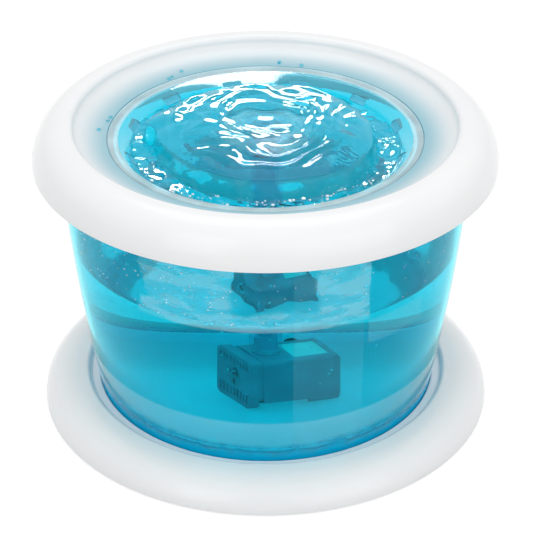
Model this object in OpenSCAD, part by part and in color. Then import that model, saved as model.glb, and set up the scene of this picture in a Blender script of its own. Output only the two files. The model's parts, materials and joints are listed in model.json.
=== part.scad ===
// Pet water fountain: a white base ring, a clear blue water bowl, a white top ring,
// a drinking dish with a bubbling centre, and a small submersible pump with its riser tube.
// The origin is on the ground below the bowl's axis, and the front is at -Y.

/* [Rings] */
// Outer radius of the base ring and of the top ring
ring_r = 135; // [133:0.5:139]
// Wall of the white mouldings
shell_wall = 2.4; // [2:0.1:2.7]
// Thickness of the ribs under the rings
rib_t = 2; // [1.6:0.1:2.6]
// Number of ribs under each ring
rib_count = 16; // [12:4:24]
// Gap beside each piece that lifts out of another
lift_gap = 0.4; // [0.3:0.05:0.6]

/* [Base ring] */
// Height of the base ring's crest above the ground
base_h = 18; // [17:0.25:20]
// Height of the base ring's lower edge above the ground
base_lip_z = 1; // [0.6:0.1:1.4]
// Width of the level part of the crest
base_crest_w = 4.75; // [3.5:0.25:6]
// Rounding of the crest's inner edge
base_edge_round = 3; // [2.8:0.1:4]
// Width of the flat gutter between the bowl and the crest
gutter_w = 5.6; // [4:0.2:7]
// Depth of the gutter below the crest
gutter_d = 3.4; // [3:0.1:4.5]
// Height of the ledge that the bowl stands on
ledge_z = 4.5; // [4:0.1:5.5]
// Radius of the opening in the base
base_bore_r = 84; // [78:1:88]

/* [Rubber feet] */
// Radius of a foot
foot_r = 5.5; // [4.5:0.25:6]
// Height of a foot
foot_h = 3.2; // [2.8:0.1:4]
// Wall of the boss round a foot
foot_boss_wall = 1.8; // [1.4:0.1:2.2]
// Number of feet
foot_count = 6; // [4:1:8]

/* [Bowl] */
// Outer radius of the bowl at its foot
bowl_foot_r = 99.3; // [98:0.25:100.5]
// Outer radius of the bowl at its rim
bowl_rim_r = 119.3; // [118:0.25:120.5]
// Height of the bowl
bowl_h = 162.5; // [150:0.5:170]
// How far the wall bulges out of a straight cone
bowl_bulge = 3; // [1:0.25:4]
// Wall of the bowl
bowl_wall = 2.6; // [2.2:0.1:3]
// Height of the floor's underside above the foot
floor_rise = 9.5; // [8:0.25:11]
// Thickness of the floor
floor_t = 3; // [2.5:0.1:4]
// Radius of the fillet between the floor and the wall
floor_fillet = 6; // [4:0.5:9]
// Width of the cable notch in the back of the rim
notch_w = 10; // [8:0.5:12]
// Depth of the cable notch
notch_d = 8; // [6.5:0.25:10]

/* [Top ring] */
// How far the roll hangs below the bowl's rim
top_overlap = 6.5; // [5:0.25:8]
// Height of the roll
top_roll_h = 23; // [21:0.5:25]
// Width of the roll from its outer edge to its crest
top_roll_w = 19.5; // [18:0.5:21]
// Width of the level part of the crest
top_crest_w = 1.6; // [1:0.1:2.5]
// Rounding of the crest's inner edge
top_edge_round = 3.2; // [2.9:0.1:4]
// Drop of the funnel from the inner edge to the dish
funnel_drop = 7.9; // [7:0.1:9]
// Width of the ledge that the dish hangs on
dish_ledge_w = 4.1; // [3.6:0.1:5]
// How far the collar reaches down into the bowl
collar_drop = 17; // [14:0.5:20]
// Thickness of the collar
collar_t = 2.2; // [1.8:0.1:2.6]

/* [Drinking dish] */
// Outer radius of the dish's rim
dish_rim_r = 91.2; // [90:0.2:92]
// Thickness of the rim
dish_rim_t = 1.6; // [1.3:0.1:2]
// Width of the level part of the rim
dish_rim_w = 2.7; // [2.2:0.1:3.2]
// Thickness of the dish, measured upright
dish_t = 2.6; // [2.2:0.1:3]
// Depth from the rim to the floor of the trough
dish_depth = 23.4; // [21:0.2:26]
// Outer radius of the trough's level floor
trough_out_r = 58; // [57:0.5:61]
// Width of the trough's level floor
trough_w = 8; // [6:0.5:10]
// Height of the hill above the trough's floor
hill_h = 21; // [19:0.5:23]
// Radius of the level top of the hill
hill_top_r = 14; // [13.5:0.25:16]
// Length of the sleeve that holds the riser tube
sleeve_l = 14; // [12:0.5:18]
// Wall of the sleeve
sleeve_wall = 2.5; // [2:0.1:3]
// Depth of the overflow slots below the rim
overflow_z = 7.4; // [6.8:0.1:8.2]
// Height of an overflow slot
overflow_h = 3.4; // [2.5:0.1:3.8]
// Width of an overflow slot
overflow_w = 12; // [8:0.5:16]
// Number of overflow slots
overflow_count = 12; // [8:1:16]

/* [Riser tube and nozzle] */
// Outer radius of the riser tube
riser_r = 7; // [6.6:0.1:7.4]
// Wall of the riser tube
riser_wall = 2; // [1.6:0.1:2.2]
// Fit between pieces that push together
push_gap = 0.05; // [0.03:0.01:0.08]
// Gap between the riser tube and the pump's outlet
outlet_gap = 0.15; // [0.1:0.05:0.3]
// Length of the nozzle's spigot in the sleeve
nozzle_spigot_l = 5; // [4:0.25:6]
// Outer radius of the nozzle's mouth
nozzle_r = 14; // [12.5:0.25:15]
// Height of the nozzle above the hill
nozzle_h = 6.5; // [5:0.25:8]
// Wall of the nozzle
nozzle_wall = 1.5; // [1.3:0.1:1.8]
// Radius of the hole in the nozzle's flow plate
flow_hole_r = 2.6; // [2.2:0.1:3]

/* [Pump] */
// Turn of the pump about the bowl's axis
pump_turn = 20; // [0:5:40]
// Length of the pump's housing behind the outlet's axis
pump_rear_l = 29; // [29:0.25:32]
// Length of the pump's housing in front of the outlet's axis
pump_front_l = 6.9; // [6.8:0.1:7.8]
// Width of the pump
pump_w = 34; // [33.5:0.5:37]
// Height of the pump
pump_h = 28.5; // [28:0.25:31]
// Height of the motor's axis above the pump's underside
motor_z = 14.2; // [13.8:0.1:14.8]
// Radius of the housing's long edges
pump_round = 3; // [2:0.25:4]
// Radius of the housing's rear corners
rear_round = 6; // [5:0.25:7]
// Distance of the rear skirt from the outlet's axis
skirt_x = 14; // [12:0.5:17]
// How far the rear skirt and the intake cover reach below the housing
skirt_drop = 3.5; // [2:0.25:4]
// Height of a suction cup below the pump
cup_h = 4.5; // [4.25:0.25:5.5]
// Radius of a suction cup's lip
cup_r = 6; // [5:0.25:7]
// Depth of the bare panel sunk in the housing's top
panel_d = 0.8; // [0.5:0.1:1.2]

/* [Pump inside] */
// Radius of the impeller's chamber
chamber_r = 10.2; // [9.8:0.1:10.6]
// Depth of the impeller's chamber
chamber_l = 9; // [8.5:0.1:9.2]
// Gap round the impeller
impeller_gap = 2; // [1.5:0.1:2.5]
// Number of impeller blades
blade_count = 6; // [4:1:8]
// Thickness of an impeller blade
blade_t = 1.2; // [1:0.1:1.6]
// Radius of the rotor magnet
magnet_r = 6.4; // [6:0.1:6.6]
// Length of the rotor magnet
magnet_l = 9.5; // [8:0.25:9.5]
// Gap between the magnet and its well
well_gap = 0.8; // [0.6:0.05:0.8]
// Wall of the well
well_wall = 1.2; // [1:0.1:1.2]
// Radius of the shaft
shaft_r = 1; // [0.8:0.05:1.2]
// Running gap between the shaft and what turns on it
running_gap = 0.05; // [0.02:0.01:0.1]
// Radius of a shaft bush
bush_r = 2.3; // [2.1:0.1:2.6]
// Length of a shaft bush
bush_l = 2.6; // [2.2:0.1:3]
// Thickness of the seal's round section
seal_t = 1.5; // [1.2:0.1:1.5]
// Thickness of the lid under the motor
lid_t = 3; // [2.6:0.1:3.4]
// Gap round pieces that are potted or packed in
pack_gap = 0.3; // [0.2:0.05:0.4]

/* [Intake] */
// Thickness of the chamber's cover
cover_t = 2.8; // [2.6:0.1:3.4]
// Length of the intake cover
intake_l = 4.5; // [4.25:0.25:7]
// How far the intake cover stands out round the housing
intake_proud = 1; // [0.5:0.1:1.5]
// Wall of the intake cover
intake_wall = 1.4; // [1.2:0.1:1.5]
// Width of an intake slot
slot_w = 1.6; // [1.2:0.1:2]
// Pitch of the intake slots
slot_pitch = 3.6; // [3.2:0.1:4]
// Radius of the flow dial
dial_r = 6.5; // [6:0.25:7]
// Thickness of the flow dial
dial_t = 1.3; // [1.1:0.1:1.4]
// Radius of the inlet hole in the chamber's cover
inlet_r = 5.5; // [5:0.25:6]

/* [Outlet and gland] */
// Length of the outlet above the pump
outlet_l = 12; // [10:0.5:14]
// Thickness of the outlet's flange
outlet_flange_t = 1.6; // [1.2:0.1:2]
// Width of the flange round the outlet's root
outlet_flange_w = 0.8; // [0.6:0.1:1.5]
// Height of the riser tube's lower end above the pump
riser_lift = 4; // [2.5:0.25:5]
// Wall of the outlet
outlet_wall = 1.4; // [1.2:0.1:1.6]
// Outer radius of the cable gland at its root
gland_r = 4; // [3.5:0.25:4.5]
// Radius of the cable gland's bore
gland_bore_r = 1.8; // [1.5:0.1:2]
// Length of the cable gland outside the housing
gland_l = 11; // [8:0.5:14]

/* [Hidden] */
$fn = 96;

white = "whitesmoke";
clear_blue = [0.1, 0.62, 0.78, 0.5];
dark_grey = [0.16, 0.18, 0.2];

over = 1;             // how far a cutter runs past the solid
roll_steps = 12;      // straight bands in a quarter of a roll
edge_steps = 5;       // straight bands round a small edge
curve_steps = 14;     // straight bands along the dish's curves
lip_t = 0.6;          // slope of the gutter's outer side
boss_lift = 0.6;      // how far the foot bosses stay above the base's lower edge
rib_lift = 1.5;       // the same for the ribs

// Bowl, as heights above its own foot and above the ground
bowl_z = ledge_z;
floor_z = bowl_z + floor_rise + floor_t;
rim_z = bowl_z + bowl_h;
function bowl_r(h) = let (t = h / bowl_h)
    bowl_foot_r + (bowl_rim_r - bowl_foot_r) * t + 4 * bowl_bulge * t * (1 - t);
function bowl_in_r(h) = bowl_r(h) - bowl_wall;

// Base ring
gutter_z = base_h - gutter_d;
collar_low_r = bowl_r(0) + lift_gap;
collar_high_r = bowl_r(gutter_z - bowl_z) + lift_gap;
base_edge_r = collar_high_r + gutter_w;
base_crest_r = base_edge_r + base_edge_round + base_crest_w;
foot_boss_r = foot_r + foot_boss_wall;
foot_boss_z = base_lip_z + boss_lift;
base_rib_z = base_lip_z + rib_lift;

// Top ring
top_edge_z = rim_z - top_overlap;
crest_z = top_edge_z + top_roll_h;
throat_r = ring_r - top_roll_w - top_crest_w - top_edge_round;
dish_rim_z = crest_z - top_edge_round - funnel_drop;
dish_seat_r = dish_rim_r + lift_gap;
dish_seat_z = dish_rim_z - dish_rim_t;
dish_ledge_r = dish_seat_r - dish_ledge_w;
collar_z = rim_z - collar_drop;
collar_out_r = bowl_in_r(bowl_h - collar_drop) - lift_gap;

// Drinking dish
dish_body_r = dish_ledge_r - lift_gap;
slope_r = dish_rim_r - dish_rim_w;
trough_z = dish_rim_z - dish_depth;
trough_in_r = trough_out_r - trough_w;
hill_z = trough_z + hill_h;
sleeve_bore_r = riser_r + push_gap;
sleeve_r = sleeve_bore_r + sleeve_wall;
overflow_r = trough_out_r + 8;
nozzle_round = 2;     // rounding of the nozzle's outside at its foot
cup_round = 2 * nozzle_wall;
flow_plate_t = 1.6 * nozzle_wall;

// Pump: its own frame has +X from the intake to the rear, and Z = 0 at its underside
root_step = 0.3;      // how much wider the outlet is at its root
end_play = 0.6;       // play at the impeller's disc and at the shaft's front end
magnet_gap = 1.5;     // room at each end of the magnet
disc_t = 1.2;         // thickness of the impeller's disc
bush_pocket = 2;      // depth of the rear bush's pocket
core_t = 10;          // thickness of the stack of core plates
limb_t = 3;           // width of the core's rear limb
coil_t = 2.1;         // thickness of the winding round the limb
lid_round = 4.4;      // rounding of the lid's rear corners
stud_r = 1.9;         // radius of a suction cup's stud
stud_l = 1.6;         // length of a suction cup's stud
gland_root = 2;       // how deep the gland sits in the housing
seal_inset = 0.8;     // from the chamber to the seal's groove
panel_edge = 5;       // width of the border round the sunk panel
panel_start = 3.5;    // from the outlet's root to the sunk panel
core_start = 4;       // from the impeller's chamber to the core plates
arm_out = 4;          // how far the core's arms stand out beside the well
arm_in = 1.5;         // how far they reach in round the well
lid_front = 3;        // how far the lid reaches in front of the core plates
lid_side = 2;         // and beside them
lid_rear = 1.8;       // housing left behind the lid
hub_pin_r = 1.6;      // radius of the pin that the flow dial turns on
dial_hole_w = 3;      // width of a hole in the flow dial
dial_hole_z = 2.6;    // distance of a hole from the dial's centre
cup_edge = 1.2;       // thickness of a suction cup's lip
cup_neck = 0.8;       // height of the neck above the cup's skirt
cup_web = 1.6;        // thickness of the cup in its middle
cover_inset = 0.5;    // how far the chamber's cover stays inside the housing's outline
slot_margin = 2;      // wall left outside the intake slots
dial_margin = 1.8;    // wall left between the slots and the dial
dial_rim = 1.2;       // rim left outside the dial's holes
tab_h = 1.2;          // height of the dial's thumb tab
shaft_fit = 0.02;     // gap between the shaft and a bush
pump_z = floor_z + cup_h;
riser_in_r = riser_r - riser_wall;
riser_top_z = hill_z - nozzle_spigot_l;
riser_low_z = pump_z + pump_h + riser_lift;
outlet_r = riser_in_r - outlet_gap;
outlet_root_r = outlet_r + root_step;
outlet_root_z = motor_z + chamber_r + root_step;
panel_x = outlet_root_r + panel_start;
well_r = magnet_r + well_gap;
well_out_r = well_r + well_wall;
impeller_r = chamber_r - impeller_gap;
chamber_end = chamber_l - pump_front_l;
hub_r = shaft_r + 2;
blade_x = bush_l - end_play - pump_front_l;
disc_x = chamber_end - end_play - disc_t;
magnet_x = chamber_end + magnet_gap;
well_end = magnet_x + magnet_l + magnet_gap;
pocket_end = well_end + bush_pocket;
cover_x = -pump_front_l - cover_t;
intake_x = cover_x - intake_l;
shaft_x0 = cover_x + end_play;
shaft_x1 = pocket_end - pack_gap;
seal_ring_r = chamber_r + seal_t / 2 + seal_inset;
limb_x = pocket_end + end_play + pack_gap + coil_t;
core_w = 2 * (well_out_r + arm_out);
core_x = chamber_end + core_start;
arm_w = arm_out + arm_in;
coil_w = core_w - 2 * arm_w - 2 * pack_gap;
lid_x0 = core_x - lid_front;
lid_x1 = pump_rear_l - lid_rear;
lid_w = core_w + 2 * lid_side;
front_cup_x = -0.5;
rear_cup_x = lid_x1 - 6;
gland_x = pump_rear_l - 9;
gland_z = pump_h - 6.5;
intake_w = pump_w + 2 * intake_proud;
intake_h = pump_h + intake_proud + skirt_drop;
intake_round = pump_round + intake_proud;

function arc(cx, cz, rx, rz, from, to, steps, skip = 0) =
    [for (i = [skip:steps]) let (a = from + (to - from) * i / steps)
        [cx + rx * cos(a), cz + rz * sin(a)]];
function backwards(list) = [for (i = [len(list) - 1:-1:0]) list[i]];
function all_but_last(list) = [for (i = [0:len(list) - 2]) list[i]];
// Height along a slope that starts and ends level, from 0 at t = 0 to 1 at t = 1
function ease(t) = (1 - cos(180 * t)) / 2;

// A ring of plates that stand upright along the radius
module spokes(count, x0, x1, z0, z1, thick)
    for (i = [0:count - 1])
        rotate([0, 0, (i + 0.5) * 360 / count])
            translate([x0, -thick / 2, z0]) cube([x1 - x0, thick, z1 - z0]);

module around(count, radius)
    for (i = [0:count - 1])
        rotate([0, 0, i * 360 / count]) translate([radius, 0, 0]) children();

module tube(r_out, r_in, z0, z1)
    translate([0, 0, z0]) difference() {
        cylinder(r = r_out, h = z1 - z0);
        translate([0, 0, -over]) cylinder(r = r_in, h = z1 - z0 + 2 * over);
    }

// The base ring's skin, set in by t from its outer face
function base_skin(t) = concat(
    arc(base_crest_r, base_lip_z, ring_r - base_crest_r - t, base_h - base_lip_z - t, 0, 90, roll_steps),
    arc(base_edge_r + base_edge_round, base_h - base_edge_round,
        base_edge_round - t, base_edge_round - t, 90, 180, edge_steps),
    [[base_edge_r + t - lip_t, gutter_z - t], [collar_high_r + t, gutter_z - t],
     [collar_low_r + t, ledge_z - t]]);

module base_under_skin()
    rotate_extrude() polygon(concat(base_skin(shell_wall / 2),
        [[collar_low_r + shell_wall / 2, base_lip_z]]));

module foot_bosses()
    around(foot_count, base_crest_r) translate([0, 0, foot_boss_z]) cylinder(r = foot_boss_r, h = base_h);

module base_ring() {
    color(white) difference() {
        union() {
            rotate_extrude() polygon(concat(base_skin(0),
                [[base_bore_r, ledge_z], [base_bore_r, ledge_z - shell_wall]],
                backwards(base_skin(shell_wall))));
            intersection() {
                base_under_skin();
                union() {
                    spokes(rib_count, base_bore_r, ring_r, base_rib_z, base_h, rib_t);
                    foot_bosses();
                }
            }
        }
        around(foot_count, base_crest_r)
            translate([0, 0, -over]) cylinder(r = foot_r + push_gap, h = foot_h + over);
    }
}

module rubber_feet() {
    color("dimgray") around(foot_count, base_crest_r) cylinder(r = foot_r, h = foot_h);
}

module bowl() {
    high = floor_rise + floor_t + floor_fillet;
    color(clear_blue) translate([0, 0, bowl_z]) difference() {
        rotate_extrude() polygon(concat(
            [[0, floor_rise], [bowl_r(0) - 1.2 * bowl_wall, floor_rise], [bowl_r(0) - bowl_wall, 0]],
            [for (i = [0:curve_steps]) let (h = bowl_h * i / curve_steps) [bowl_r(h), h]],
            [for (i = [curve_steps:-1:1])
                let (h = high + (bowl_h - high) * i / curve_steps) [bowl_in_r(h), h]],
            arc(bowl_in_r(high) - floor_fillet, high, floor_fillet, floor_fillet, 0, -90, edge_steps),
            [[0, floor_rise + floor_t]]));
        translate([-notch_w / 2, 0, bowl_h - notch_d]) cube([notch_w, bowl_rim_r + over, notch_d + over]);
    }
}

// The top ring's skin, set in by t from its outer face
function top_skin(t) = concat(
    arc(ring_r - top_roll_w, top_edge_z, top_roll_w - t, top_roll_h - t, 0, 90, roll_steps),
    arc(throat_r + top_edge_round, crest_z - top_edge_round,
        top_edge_round - t, top_edge_round - t, 90, 180, edge_steps),
    arc(dish_seat_r, crest_z - top_edge_round, throat_r - dish_seat_r + t, funnel_drop + t,
        0, -90, roll_steps, 1));

module top_under_skin()
    polygon(concat(top_skin(shell_wall / 2),
        [[dish_seat_r, collar_z - over], [ring_r - shell_wall / 2, collar_z - over]]));

module top_ring() {
    color(white) difference() {
        union() {
            rotate_extrude() polygon(concat(top_skin(0),
                [[dish_seat_r, dish_seat_z], [dish_ledge_r, dish_seat_z],
                 [dish_ledge_r, dish_seat_z - shell_wall],
                 [dish_seat_r + shell_wall, dish_seat_z - shell_wall]],
                backwards(all_but_last(top_skin(shell_wall)))));
            rotate_extrude() intersection() {
                top_under_skin();
                translate([collar_out_r - collar_t, collar_z]) square([collar_t, crest_z - collar_z]);
            }
            intersection() {
                rotate_extrude() top_under_skin();
                spokes(rib_count, collar_out_r - collar_t / 2, ring_r, rim_z, crest_z, rib_t);
            }
        }
        translate([-notch_w / 2 - 1, 0, collar_z - over])
            cube([notch_w + 2, collar_out_r + over, collar_drop + over]);
    }
}

// The dish's upper face from its rim in to the hill's top, and the same lowered by t
function slope_z(r) = trough_z + dish_depth * ease((r - trough_out_r) / (slope_r - trough_out_r));
function hill_at(r) = trough_z + hill_h * ease((trough_in_r - r) / (trough_in_r - hill_top_r));
function dish_face(from_r, t) = concat(
    [for (i = [0:curve_steps]) let (r = from_r + (trough_out_r - from_r) * i / curve_steps)
        [r, slope_z(r) - t]],
    [for (i = [0:curve_steps]) let (r = trough_in_r + (hill_top_r - trough_in_r) * i / curve_steps)
        [r, hill_at(r) - t]]);

module drinking_dish() {
    color(clear_blue) difference() {
        union() {
            rotate_extrude() polygon(concat(
                [[dish_body_r, dish_seat_z], [dish_rim_r, dish_seat_z], [dish_rim_r, dish_rim_z]],
                dish_face(slope_r, 0),
                [[sleeve_bore_r, hill_z], [sleeve_bore_r, hill_z - dish_t]],
                backwards(dish_face(dish_body_r, dish_t))));
            tube(sleeve_r, sleeve_bore_r, hill_z - sleeve_l, hill_z - dish_t / 2);
        }
        for (i = [0:overflow_count - 1])
            rotate([0, 0, (i + 0.5) * 360 / overflow_count])
                translate([overflow_r, -overflow_w / 2, dish_rim_z - overflow_z])
                    cube([dish_body_r - overflow_r, overflow_w, overflow_h]);
    }
}

module riser_tube() {
    color(clear_blue) tube(riser_r, riser_in_r, riser_low_z, riser_top_z);
}

// The cup stands on the hill, its spigot pushes into the sleeve, and the water wells up
// through the hole in its flow plate
module bubble_nozzle() {
    color(clear_blue) translate([0, 0, hill_z]) rotate_extrude() polygon(concat(
        [[flow_hole_r, 0], [riser_in_r, 0], [riser_in_r, -nozzle_spigot_l],
         [riser_r, -nozzle_spigot_l], [riser_r, 0], [nozzle_r - nozzle_round, 0]],
        arc(nozzle_r - nozzle_round, nozzle_h, nozzle_round, nozzle_h - nozzle_wall, -90, 0, edge_steps),
        arc(nozzle_r - nozzle_wall - cup_round, nozzle_h, cup_round, nozzle_h - flow_plate_t,
            0, -90, edge_steps),
        [[flow_hole_r, flow_plate_t]]));
}

// Places a piece of the pump
module at_pump()
    translate([0, 0, pump_z]) rotate([0, 0, pump_turn]) children();

// A rod along the motor's axis
module rod(x0, x1, r)
    translate([x0, 0, motor_z]) rotate([0, 90, 0]) cylinder(r = r, h = x1 - x0);

// A block with its four long edges rounded, seen along the motor's axis
function round_box(w, h, r) = concat(
    arc(w / 2 - r, h - r, r, r, 0, 90, edge_steps), arc(r - w / 2, h - r, r, r, 90, 180, edge_steps),
    arc(r - w / 2, r, r, r, 180, 270, edge_steps), arc(w / 2 - r, r, r, r, 270, 360, edge_steps));

module long_block(x0, x1, w, h, r, z0 = 0)
    translate([x0, 0, z0]) rotate([90, 0, 90]) linear_extrude(x1 - x0) polygon(round_box(w, h, r));

// A plate in plan whose rear corners are rounded
module rear_plan(x0, x1, w, r)
    polygon(concat(arc(x1 - r, w / 2 - r, r, r, 90, 0, edge_steps),
        arc(x1 - r, r - w / 2, r, r, 0, -90, edge_steps), [[x0, -w / 2], [x0, w / 2]]));

module core_plan(gap) {
    translate([core_x - gap, core_w / 2 - arm_w - gap])
        square([limb_x + limb_t - core_x + 2 * gap, arm_w + 2 * gap]);
    translate([core_x - gap, -core_w / 2 - gap])
        square([limb_x + limb_t - core_x + 2 * gap, arm_w + 2 * gap]);
    translate([limb_x - gap, -core_w / 2 - gap]) square([limb_t + 2 * gap, core_w + 2 * gap]);
}

// The housing's outline from the side: the rear corners are rounded, and the skirt hangs below
module side_plan()
    translate([0, pump_w / 2]) rotate([90, 0, 0]) linear_extrude(pump_w)
        polygon(concat([[-pump_front_l - over, 0], [skirt_x, 0], [skirt_x, -skirt_drop]],
            arc(pump_rear_l - skirt_drop, 0, skirt_drop, skirt_drop, 270, 360, edge_steps),
            arc(pump_rear_l - rear_round, pump_h - rear_round, rear_round, rear_round, 0, 90, edge_steps),
            [[-pump_front_l - over, pump_h]]));

module pump_housing() {
    color(dark_grey) at_pump() difference() {
        intersection() {
            long_block(-pump_front_l, pump_rear_l, pump_w, pump_h + skirt_drop, pump_round, -skirt_drop);
            translate([0, 0, -skirt_drop]) linear_extrude(pump_h + skirt_drop)
                rear_plan(-pump_front_l - over, pump_rear_l, pump_w, rear_round);
            side_plan();
        }
        rod(-pump_front_l - over, chamber_end, chamber_r);
        rod(0, well_end, well_r);
        rod(0, pocket_end, bush_r + push_gap);
        translate([-pump_front_l, 0, motor_z]) rotate([0, 90, 0])
            tube(seal_ring_r + seal_t / 2 + push_gap, seal_ring_r - seal_t / 2 - push_gap,
                -over, seal_t + push_gap);
        translate([0, 0, motor_z]) cylinder(r = outlet_root_r + push_gap, h = pump_h);
        translate([0, 0, -skirt_drop - over]) linear_extrude(skirt_drop + lid_t + over)
            rear_plan(lid_x0, lid_x1 + push_gap, lid_w + 2 * push_gap, lid_round);
        difference() {
            union() {
                linear_extrude(motor_z + core_t / 2 + pack_gap) core_plan(pack_gap);
                translate([limb_x - coil_t - pack_gap, -coil_w / 2 - pack_gap, 0])
                    cube([limb_t + 2 * coil_t + 2 * pack_gap, coil_w + 2 * pack_gap,
                        motor_z + core_t / 2 + coil_t + pack_gap]);
            }
            rod(0, pocket_end + end_play, well_out_r);
        }
        translate([panel_x, panel_edge - pump_w / 2, pump_h - panel_d])
            cube([pump_rear_l - panel_edge - panel_x, pump_w - 2 * panel_edge, panel_d + over]);
        translate([front_cup_x, 0, -over]) cylinder(r = stud_r + push_gap, h = stud_l + over, $fn = 32);
        translate([gland_x, pump_w / 2 - gland_root, gland_z]) rotate([-90, 0, 0])
            cylinder(r = gland_r + push_gap, h = gland_root + over);
    }
}

module motor_lid() {
    color(dark_grey) at_pump() difference() {
        linear_extrude(lid_t) rear_plan(lid_x0 + push_gap, lid_x1, lid_w, lid_round);
        translate([rear_cup_x, 0, -over]) cylinder(r = stud_r + push_gap, h = stud_l + over, $fn = 32);
    }
}

// One suction cup, with its stud, below the point where it is fixed
module cup()
    rotate_extrude($fn = 48) polygon([[0, stud_l], [stud_r, stud_l], [stud_r, 0], [stud_r + 1, 0],
        [stud_r + 1, -cup_neck], [cup_r, -cup_h], [cup_r - cup_edge, -cup_h], [stud_r, -cup_web],
        [0, -cup_web]]);

module suction_cups() {
    color([0.25, 0.3, 0.32]) at_pump() {
        translate([front_cup_x, 0, 0]) cup();
        translate([rear_cup_x, 0, 0]) cup();
    }
}

module chamber_cover() {
    spoke_w = 1.6;
    color(dark_grey) at_pump() difference() {
        union() {
            difference() {
                long_block(cover_x, -pump_front_l, pump_w - 2 * cover_inset, pump_h - 2 * cover_inset,
                    pump_round, cover_inset);
                rod(cover_x - over, over, inlet_r);
            }
            intersection() {
                rod(cover_x, -pump_front_l, inlet_r + over);
                union() {
                    rod(cover_x, cover_x + bush_l, bush_r + spoke_w);
                    for (turn = [30, 150, 270])
                        translate([cover_x, 0, motor_z]) rotate([turn, 0, 0])
                            translate([0, -spoke_w / 2, 0]) cube([bush_l, spoke_w, inlet_r + over]);
                }
            }
        }
        rod(cover_x - over, over, bush_r + push_gap);
    }
}

module chamber_seal() {
    color("black") at_pump() translate([-pump_front_l + seal_t / 2 + push_gap / 2, 0, motor_z])
        rotate([0, 90, 0]) rotate_extrude() translate([seal_ring_r, 0]) circle(r = seal_t / 2, $fn = 24);
}

module bush(x0)
    difference() {
        rod(x0, x0 + bush_l, bush_r);
        rod(x0 - over, x0 + bush_l + over, shaft_r + shaft_fit);
    }

module front_bush() {
    color("black") at_pump() bush(cover_x);
}

module rear_bush() {
    color("black") at_pump() bush(pocket_end - bush_l);
}

module impeller_shaft() {
    color("silver") at_pump() rod(shaft_x0, shaft_x1, shaft_r);
}

module impeller() {
    color("white") at_pump() difference() {
        union() {
            rod(blade_x, magnet_x, hub_r);
            rod(disc_x, disc_x + disc_t, impeller_r);
            for (i = [0:blade_count - 1])
                translate([blade_x, 0, motor_z]) rotate([i * 360 / blade_count, 0, 0])
                    translate([0, -blade_t / 2, 0])
                        cube([disc_x - blade_x + disc_t / 2, blade_t, impeller_r - 0.2]);
        }
        rod(blade_x - over, magnet_x + over, shaft_r + running_gap);
    }
}

module rotor_magnet() {
    color("dimgray") at_pump() difference() {
        rod(magnet_x, magnet_x + magnet_l, magnet_r);
        rod(magnet_x - over, magnet_x + magnet_l + over, shaft_r + running_gap);
    }
}

module stator_core() {
    color("gray") at_pump() difference() {
        translate([0, 0, motor_z - core_t / 2]) linear_extrude(core_t) core_plan(0);
        rod(0, pocket_end + 1, well_out_r + pack_gap);
    }
}

module stator_coil() {
    color("chocolate") at_pump() difference() {
        translate([limb_x - coil_t, -coil_w / 2, motor_z - core_t / 2 - coil_t])
            cube([limb_t + 2 * coil_t, coil_w, core_t + 2 * coil_t]);
        translate([limb_x - push_gap, -coil_w, motor_z - core_t / 2 - push_gap])
            cube([limb_t + 2 * push_gap, 2 * coil_w, core_t + 2 * push_gap]);
    }
}

module outlet_nozzle() {
    color(clear_blue) at_pump() difference() {
        union() {
            translate([0, 0, outlet_root_z]) cylinder(r = outlet_root_r, h = pump_h - outlet_root_z);
            translate([0, 0, pump_h]) cylinder(r = outlet_root_r + outlet_flange_w, h = outlet_flange_t);
            translate([0, 0, pump_h]) cylinder(r = outlet_r, h = outlet_l);
        }
        cylinder(r = outlet_r - outlet_wall, h = pump_h + outlet_l + over);
    }
}

module cable_gland() {
    color("black") at_pump() translate([gland_x, pump_w / 2, gland_z]) rotate([-90, 0, 0])
        rotate_extrude($fn = 48) polygon([[gland_bore_r, -gland_root], [gland_r, -gland_root], [gland_r, 0],
            [gland_r + 1, 0], [gland_r + 1, 1.4], [gland_r, 1.4], [gland_bore_r + 1, gland_l],
            [gland_bore_r, gland_l]]);
}

// The space inside the intake cover, set in by gap
module intake_inside(x0, x1, gap)
    long_block(x0, x1, intake_w - 2 * intake_wall - 2 * gap, intake_h - 2 * intake_wall - 2 * gap,
        intake_round - intake_wall, intake_wall + gap - skirt_drop);

module intake_cover() {
    slots = floor((intake_w / 2 - intake_wall - slot_margin) / slot_pitch);
    dial_edge = dial_r + dial_margin;
    low = motor_z + skirt_drop - intake_wall - slot_margin;
    high = intake_h - skirt_drop - motor_z - intake_wall - slot_margin;
    color(dark_grey) at_pump() difference() {
        long_block(intake_x, cover_x, intake_w, intake_h, intake_round, -skirt_drop);
        intake_inside(intake_x + dial_t + intake_wall, cover_x + over, 0);
        rod(intake_x - over, intake_x + dial_t, dial_r + pack_gap);
        for (i = [-slots:slots]) {
            translate([intake_x - over, i * slot_pitch - slot_w / 2, motor_z + dial_edge])
                cube([intake_wall + dial_t + 2 * over, slot_w, high - dial_edge]);
            translate([intake_x - over, i * slot_pitch - slot_w / 2, motor_z - low])
                cube([intake_wall + dial_t + 2 * over, slot_w, low - dial_edge]);
        }
        for (turn = [0, 120, 240])
            translate([intake_x, 0, motor_z]) rotate([turn, 0, 0])
                translate([0, -dial_hole_w / 2, dial_hole_z])
                    cube([dial_t + intake_wall + over, dial_hole_w, dial_r - dial_hole_z - dial_rim]);
        rod(intake_x, cover_x, hub_pin_r + running_gap);
    }
}

module prefilter_foam() {
    color([0.12, 0.14, 0.16]) at_pump()
        intake_inside(intake_x + dial_t + intake_wall + pack_gap, cover_x - pack_gap, pack_gap);
}

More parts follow.
